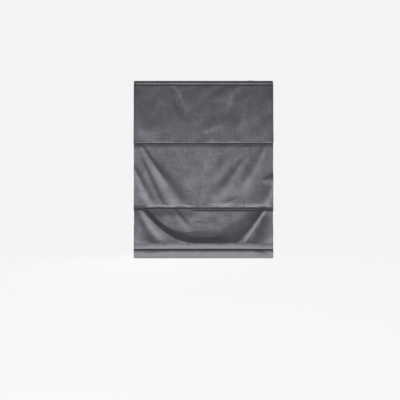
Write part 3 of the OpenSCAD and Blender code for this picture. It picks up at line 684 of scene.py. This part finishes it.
def hang_sheets(sheets, node):
    """Bodies of a cloth's five sheets, from the top one to the bottom one, and the solid node they stand for
    is hidden.
    """
    panel_1, panel_2, panel_3, panel_3_back, bottom = sheets
    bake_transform(panel_1)
    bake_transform(panel_2)
    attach(panel_3, "rod_2")
    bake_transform(panel_3_back)
    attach(bottom, "bottom")
    for piece, held in zip(sheets, ("hung", "hung", "gathered", "gathered", "hung")):
        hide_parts(node)
        flat_size(piece)


# Velvet

# Shares of EDGE_IN by which the panels' sides draw in, and the drop in which the swag's do
DRAWN_1, DRAWN_2, DRAWN_H = 0.2, 0.3, 40
# The roll of the heading over its tape, and the lip under the first rod's seam
HEAD_ROLL, HEAD_ROLL_H, HEAD_ROLL_FROM = 1.5, 6, 5
LIP, LIP_H, LIP_ROWS_H = 2.0, 7, 10

columns = np.linspace(-WIDE / 2, WIDE / 2, VELVET_COLUMNS)


def rolled_in(high, count):
    """Drops of the rows that roll in to a panel's lower seam."""
    return high - TUCK + TUCK * np.sin(np.linspace(0, math.pi / 2, count))


def rows_to(high, flat):
    """Drops of a panel's rows, closer together at its top and where it rolls in."""
    fine = np.linspace(0, flat, FINE_ROWS)[:-1]
    return np.concatenate([fine, np.linspace(flat, high - TUCK, PANEL_ROWS)[:-1], rolled_in(high, ROLL_ROWS)])


def drawn_in(share):
    """The columns' places in rows whose sides draw in by a share of EDGE_IN."""
    return columns[None, :] * (1 - 2 * EDGE_IN * share[:, None] / WIDE)


def panel_grid(top, d, out, share):
    return sheet_grid(drawn_in(share), CLOTH_Y - out, (top - d)[:, None])


def brushed_and_shaded_at(places, d):
    return creased(places, columns[None, :], d[:, None]) / BRUSHED_AND_SHADED_UNIT


drops_1 = rows_to(PANEL_1, HEAD_H)
out_1 = panel_out(CREASES_1, columns[None, :], drops_1[:, None], PANEL_1, HEAD_H, FULL_1, SEED_1)
roll_end = smooth((drops_1 - HEAD_ROLL_FROM) / (HEAD_H - HEAD_ROLL_FROM))
out_1 = out_1 + HEAD_ROLL * (smooth(drops_1 / HEAD_ROLL_H) * (1 - roll_end))[:, None]
# Painted shade: the top panel's tone is darker towards its top
top_shade = TOP_SHADE + TOP_SHADE_GONE * drops_1[:, None] / PANEL_1
panel_1 = cloth_object(
    "velvet_panel_1", panel_grid(CLOTH_TOP, drops_1, out_1, DRAWN_1 * np.sin(math.pi * drops_1 / PANEL_1)),
    VELVET_T, velvet, top_shade + brushed_and_shaded_at(BRUSHED_AND_SHADED_1, drops_1))

drops_2 = rows_to(PITCH, LIP_ROWS_H)
out_2 = panel_out(CREASES_2, columns[None, :], drops_2[:, None], PITCH, 0, FULL_2, SEED_2)
out_2 = out_2 + (LIP * smooth(drops_2 / LIP_H) * tucked(drops_2, PITCH))[:, None]
panel_2 = cloth_object(
    "velvet_panel_2", panel_grid(ROD_1, drops_2, out_2, DRAWN_2 * np.sin(math.pi * drops_2 / PITCH)),
    VELVET_T, velvet, brushed_and_shaded_at(BRUSHED_AND_SHADED_2, drops_2))

# The swag and its turn, in which the front's unevenness dies away
drops_3 = np.linspace(0, FOLD_BELOW - TURN_H, SWAG_ROWS)
out_3 = gathered_out(columns[None, :], drops_3[:, None])
front_3 = panel_grid(ROD_2, drops_3, out_3, smooth(drops_3 / DRAWN_H))
turn = np.linspace(0, math.pi, TURN_ROWS)[1:]
turn_y = FOLD_Y - FOLD_TURN * np.cos(turn)
turn_z = FOLD_Z + TURN_H - TURN_H * np.sin(turn)
kept = (0.5 + 0.5 * np.cos(turn))[:, None]
uneven = (front_3[-1, :, 1] - CLOTH_Y + FOLD_OUT)[None, :]
turned = sheet_grid(drawn_in(np.ones(1)), turn_y[:, None] + uneven * kept, turn_z[:, None])
brushed_and_shaded_3 = brushed_and_shaded_at(BRUSHED_AND_SHADED_3, drops_3)
panel_3 = cloth_object(
    "velvet_panel_3", np.concatenate([front_3, turned]),
    VELVET_T, velvet, np.concatenate([brushed_and_shaded_3, brushed_and_shaded_3[-1:] * kept]))


def fold_back(k):
    """The velvet's y and z behind the fold, from its turn at 0 up to the crest at 1."""
    y = FOLD_Y + FOLD_TURN + (CLOTH_Y - 2 * CREST_R - FOLD_Y - FOLD_TURN) * smooth(k)
    return y, FOLD_Z + TURN_H + (CREST_Z - FOLD_Z - TURN_H) * k


up = np.linspace(0, 1, BACK_ROWS)
back_y, back_z = fold_back(up)
back_grid = sheet_grid(drawn_in(1 - up), back_y[:, None], back_z[:, None])
panel_3_back = cloth_object("velvet_panel_3_back", back_grid, VELVET_T, velvet)

# The bottom: over the crest, down, around the hem and up to the hem's sewn edge behind
crest = np.linspace(math.pi, 0, CREST_ROWS)
hang = np.linspace(0, 1, HANG_ROWS)[1:]
hem = np.linspace(math.pi, math.tau, HEM_ROWS)[1:]
low_y = np.concatenate([
    CLOTH_Y - CREST_R + CREST_R * np.cos(crest),
    np.full(len(hang), CLOTH_Y),
    CLOTH_Y + HEM_R + HEM_R * np.cos(hem),
    np.full(HEM_BACK_ROWS - 1, HEM_BACK_Y),
    HEM_BACK_Y + (HEM_SEAM_Y - HEM_BACK_Y) * smooth(np.linspace(0, 1, HEM_LEAN_ROWS)[1:]),
    [HEM_SEAM_Y, HEM_SEAM_Y],
])
low_z = np.concatenate([
    CREST_Z + CREST_R * np.sin(crest),
    CREST_Z + (HEM_Z - CREST_Z) * hang,
    HEM_Z + HEM_R * np.sin(hem),
    np.linspace(HEM_Z, HEM_Z + HEM_BACK_H, HEM_BACK_ROWS)[1:],
    np.linspace(HEM_Z + HEM_BACK_H, HEM_TOP - HEM_FLAT, HEM_LEAN_ROWS)[1:],
    [HEM_TOP - HEM_FLAT / 2, HEM_TOP],
])
low_front = np.arange(len(low_y)) < len(crest) + len(hang)
low_out = HEM_OUT * smooth((HEM_OUT_Z - low_z) / HEM_OUT_H) * (1 - smooth((HEM_IN_Z - low_z) / HEM_IN_H))
low_crease = creased(CREASES_LOW, columns[None, :], (ROD_2 - low_z)[:, None])
low_crease = low_crease * (low_front * smooth((low_z - HEM_SMOOTH_Z) / HEM_SMOOTH_H))[:, None]
low_grid = sheet_grid(columns[None, :], (low_y - low_out * low_front)[:, None] - low_crease, low_z[:, None])
bottom_cloth = cloth_object("velvet_bottom", low_grid, VELVET_T, velvet)

hang_sheets((panel_1, panel_2, panel_3, panel_3_back, bottom_cloth), "face_cloth")

# Lining

# Where the lining's ripples set in and end, and the run of both
LOOSE_FROM_1, LOOSE_FROM_2, LOOSE_END, LOOSE_RUN = 30, 10, 20, 60

lining_columns = np.linspace(-LINING_WIDE / 2, LINING_WIDE / 2, LINING_COLUMNS)


def lining_grid(y, z, loose, seed):
    waves = ripple(lining_columns[None, :], z[:, None], seed, *LINING_RIPPLES)
    waves = np.clip(waves, -LINING_RIPPLE_MOST, LINING_RIPPLE_MOST) * loose[:, None]
    return sheet_grid(lining_columns[None, :], y[:, None] + waves, z[:, None])


def lining_panel(top, d, high, flat, full, loose_from, seed):
    """The lining of an upper panel, half as full as the velvet in front of it."""
    y = LINING_Y - LINING_SHARE * tucked(d, high) * filled(d, high, flat, *full)
    loose = smooth((d - loose_from) / LOOSE_RUN) * smooth((high - LOOSE_END - d) / LOOSE_RUN)
    return lining_grid(y, top - d * (1 - LINING_TUCK / high), LINING_RIPPLE_H * loose, seed)


def lining_rows(start, high):
    even = np.linspace(start, high - TUCK, LINING_ROWS)[:-1]
    return np.concatenate([even, rolled_in(high, LINING_ROLL_ROWS)])


grid_1 = lining_panel(
    CLOTH_TOP, lining_rows(LINING_TOP, PANEL_1), PANEL_1, TAPE_H, FULL_1, LOOSE_FROM_1, SEED_LINING_1)
lining_1 = cloth_object("lining_panel_1", grid_1, LINING_T, lining_cloth)
drops = np.concatenate([[-LINING_TUCK], lining_rows(0, PITCH)])
grid_2 = lining_panel(ROD_1, drops, PITCH, 0, FULL_2, LOOSE_FROM_2, SEED_LINING_2)
lining_2 = cloth_object("lining_panel_2", grid_2, LINING_T, lining_cloth)

# The swag's lining and its turn inside the fold
drops = np.concatenate([[-LINING_TUCK], np.linspace(0, FOLD_BELOW - TURN_H, LINING_SWAG_ROWS)])
turn = np.linspace(0, math.pi, LINING_TURN_ROWS)[1:]
front_y = LINING_Y - (FOLD_OUT - LINING_IN)
rear_y = FOLD_Y + FOLD_TURN - LINING_OFF
turn_y = (front_y + rear_y) / 2 - (rear_y - front_y) / 2 * np.cos(turn)
turn_z = FOLD_Z + TURN_H - LINING_TURN * np.sin(turn)
grid_3 = lining_grid(
    np.concatenate([LINING_Y - lining_front(drops), turn_y]), np.concatenate([ROD_2 - drops, turn_z]),
    np.zeros(len(drops) + len(turn)), SEED_LINING_3)
# It follows the velvet forwards under the second rod, so that the third rod can come up behind it
below = np.clip(drops, 0, None)[:, None]
velvet_x = lining_columns[None, :] / (1 - 2 * EDGE_IN * smooth(below / DRAWN_H) / WIDE)
ahead = gathered_out(velvet_x, below) - lining_front(below) - FOLLOW_GAP
grid_3[:len(drops), :, 1] -= smooth((FOLLOW_END - below) / FOLLOW_RUN) * np.clip(ahead, 0, FOLLOW)
lining_3 = cloth_object("lining_panel_3", grid_3, LINING_T, lining_cloth)

back_y, back_z = fold_back(np.linspace(0, 1, LINING_BACK_ROWS))
grid_back = lining_grid(back_y + LINING_OFF, back_z, np.zeros(LINING_BACK_ROWS), SEED_LINING_BACK)
lining_3_back = cloth_object("lining_panel_3_back", grid_back, LINING_T, lining_cloth)

arc = np.linspace(LINING_ARC, 0, LINING_ARC_ROWS)
down = np.linspace(CREST_Z, BOTTOM + LINING_END, LINING_LOW_ROWS)[1:]
grid_low = lining_grid(
    np.concatenate([CLOTH_Y - CREST_R + (CREST_R + LINING_OFF) * np.cos(arc), np.full(len(down), LINING_Y)]),
    np.concatenate([CREST_Z + (CREST_R + LINING_OFF) * np.sin(arc), down]),
    np.zeros(len(arc) + len(down)), SEED_LINING_LOW)
lining_low = cloth_object("lining_bottom", grid_low, LINING_T, lining_cloth)

hang_sheets((lining_1, lining_2, lining_3, lining_3_back, lining_low), "lining")

# Stitches: the rod pockets' seams, the hem and the lining's side hems


def straight_row(half, y, z):
    return np.array([(-half, y, z), (half, y, z)])


def side_hems(grid, top, low):
    """The two lines on a lining sheet's back, a hem's width in from its sides, between two heights."""
    lines = []
    for x in (-LINING_WIDE / 2 + LINING_SEAM, LINING_WIDE / 2 - LINING_SEAM):
        line = grid[:, int(np.argmin(np.abs(lining_columns - x)))] + np.array((0, LINING_T / 2, 0))
        lines.append(line[(line[:, 2] < top) & (line[:, 2] > low)])
    return lines


for name, body, z in (
    ("rod_1", "rod_1", ROD_1 + POCKET_SEAM),
    ("rod_2", "rod_2", ROD_2 + POCKET_SEAM),
    ("rod_3", "bottom", ROD_3 - POCKET_SEAM),
):
    line = straight_row(LINING_WIDE / 2 - POCKET_ROW_END, POCKET_Y, z)
    row = stitched_object(f"stitches_{name}", [line], thread)
    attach(row, body)

hem_line = straight_row(WIDE / 2 - HEM_ROW_END, HEM_SEAM_Y + VELVET_T / 2, HEM_TOP - HEM_SEAM)
hem_row = stitched_object("stitches_hem", [hem_line], grey_thread)
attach(hem_row, "bottom")

side_1 = stitched_object("stitches_lining_1", side_hems(grid_1, SIDE_HEM_TOP, ROD_1 + OVER_ROD), thread)
side_2 = stitched_object("stitches_lining_2", side_hems(grid_2, ROD_1 - UNDER_ROD, ROD_2 + OVER_ROD), thread)
side_3 = stitched_object(
    "stitches_lining_3", side_hems(grid_low, ROD_3 - UNDER_ROD_3, HEM_TOP - UNDER_HEM), thread)
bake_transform(side_1)
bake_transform(side_2)
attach(side_3, "bottom")

# Lift cords, in the stretches that the rods divide them into: the bodies at both ends of a stretch, its ends,
# and the heights between which it gives way
CORD_RUNS = [
    ("headrail", "rod_1", CORD_TOP, ROD_1, CORD_TOP - CORD_STILL, ROD_1),
    ("rod_1", "rod_2", ROD_1, ROD_2, ROD_1, ROD_2),
    ("rod_2", "bottom", ROD_2, ROD_3 - CORD_PAST, ROD_2, ROD_3),
]
for side, x in (("left", -CORD_X), ("middle", 0.0), ("right", CORD_X)):
    for number, (upper, lower, z0, z1, from_z, to_z) in enumerate(CORD_RUNS, 1):
        cord = cord_object(f"lift_cord_{side}_{number}", x, z0, z1, cord_fibre)
        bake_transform(cord)
        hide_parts("lift_cords")

# Finishes of the solids that stay

finishes = {
    rail_paint: ["headrail"],
    cap_plastic: ["end_cap_left", "end_cap_right"],
    tape_fibre: ["hook_tape", "loop_tape"],
    zinc: ["bracket_left", "bracket_right", "latch_left", "latch_right"],
    shaft_steel: ["lift_shaft"],
    spring_steel: ["flat_spring"],
    bar_metal: ["bottom_bar"],
    cord_fibre: ["wound_cord"],
    clear_fibre: ["rod_1", "rod_2", "rod_3"],
    pocket_cloth: ["rod_1_pocket", "rod_2_pocket", "rod_3_pocket"],
    white_plastic: [
        "cradle_left", "cradle_middle", "cradle_right", "cord_eyelets", "motor_housing", "motor_cover",
        "output_drum", "storage_drum", "spool_left", "spool_middle", "spool_right",
        "rod_1_tips", "rod_1_rings", "rod_2_tips", "rod_2_rings", "rod_3_tips", "rod_3_rings",
        "cord_toggles", "bottom_bar_tips",
    ],
}
for material, names in finishes.items():
    for name in names:
        for place in nodes[name].material_slots:
            place.material = material

# Camera, at the photograph's angle: level, a little left of the middle

SENSOR, PHOTO_PIXELS, FOCAL_PIXELS = 36, 400, 418
scene = bpy.context.scene
camera_data = bpy.data.cameras.new("camera")
camera_data.sensor_width = SENSOR
camera_data.lens = SENSOR * FOCAL_PIXELS / PHOTO_PIXELS
camera = bpy.data.objects.new("camera", camera_data)
camera.location = (-0.025, -3.026, -0.861)
camera.rotation_euler = (math.pi / 2, 0, 0)
scene.collection.objects.link(camera)
scene.camera = camera

# Floor in millimetres, and light in metres

FLOOR_Z, FLOOR_HALF, FLOOR_GLOW = -1750, 40000, 0.9
LAMP_SIZE, LAMP_AIM = 1.8, (0, 0, -0.7)


def seen_rays(tree):
    """1 for what the camera sees, also in metal and through glass, and 0 for the light on the object."""
    paths = add(tree, "ShaderNodeLightPath").outputs
    direct = combined(tree, "MAXIMUM", paths["Is Camera Ray"], paths["Is Glossy Ray"])
    return combined(tree, "MAXIMUM", direct, paths["Is Transmission Ray"])


def mixed_shader(tree, share, first, second, output):
    mix = add(tree, "ShaderNodeMixShader")
    tree.links.new(share, mix.inputs["Fac"])
    tree.links.new(first.outputs[0], mix.inputs[1])
    tree.links.new(second.outputs[0], mix.inputs[2])
    tree.links.new(mix.outputs[0], tree.nodes[output].inputs["Surface"])


def floor_material():
    """Pale, with a share of even glow for the camera, so that the object's shadow stays on it."""
    mat, tree, bsdf = new_material("floor")
    set_inputs(bsdf, {"Base Color": (0.62, 0.62, 0.62, 1), "Roughness": 1.0, "Specular IOR Level": 0.0})
    glow = add(tree, "ShaderNodeEmission", Color=(0.97, 0.97, 0.97, 1))
    mixed_shader(tree, scaled(tree, seen_rays(tree), FLOOR_GLOW), bsdf, glow, "Material Output")
    return mat


def studio_world():
    """Even white light, with a pale grey where it is seen."""
    world = bpy.data.worlds.new("studio")
    world.use_nodes = True
    tree = world.node_tree
    light = tree.nodes["Background"]
    set_inputs(light, {"Color": (1, 1, 1, 1), "Strength": 0.5})
    seen = add(tree, "ShaderNodeBackground", Color=(0.9, 0.9, 0.9, 1))
    mixed_shader(tree, seen_rays(tree), light, seen, "World Output")
    return world


def softbox(name, place, watts):
    lamp = bpy.data.lights.new(name, "AREA")
    lamp.shape = "DISK"
    lamp.size = LAMP_SIZE
    lamp.energy = watts
    obj = bpy.data.objects.new(name, lamp)
    obj.location = place
    obj.rotation_euler = (Vector(LAMP_AIM) - Vector(place)).to_track_quat("-Z", "Y").to_euler()
    scene.collection.objects.link(obj)


corners = [(-1, -1), (1, -1), (1, 1), (-1, 1)]
floor_points = [(x * FLOOR_HALF, y * FLOOR_HALF, FLOOR_Z) for x, y in corners]
floor = mesh_object("floor", floor_points, [(0, 1, 2, 3)], floor_material())

scene.world = studio_world()
softbox("key", (-1.4, -3.6, 0.4), watts=95)
softbox("fill", (1.6, -3.6, -0.2), watts=65)
softbox("back", (-1.0, 3.6, 0.2), watts=60)

scene.view_settings.view_transform = "Standard"
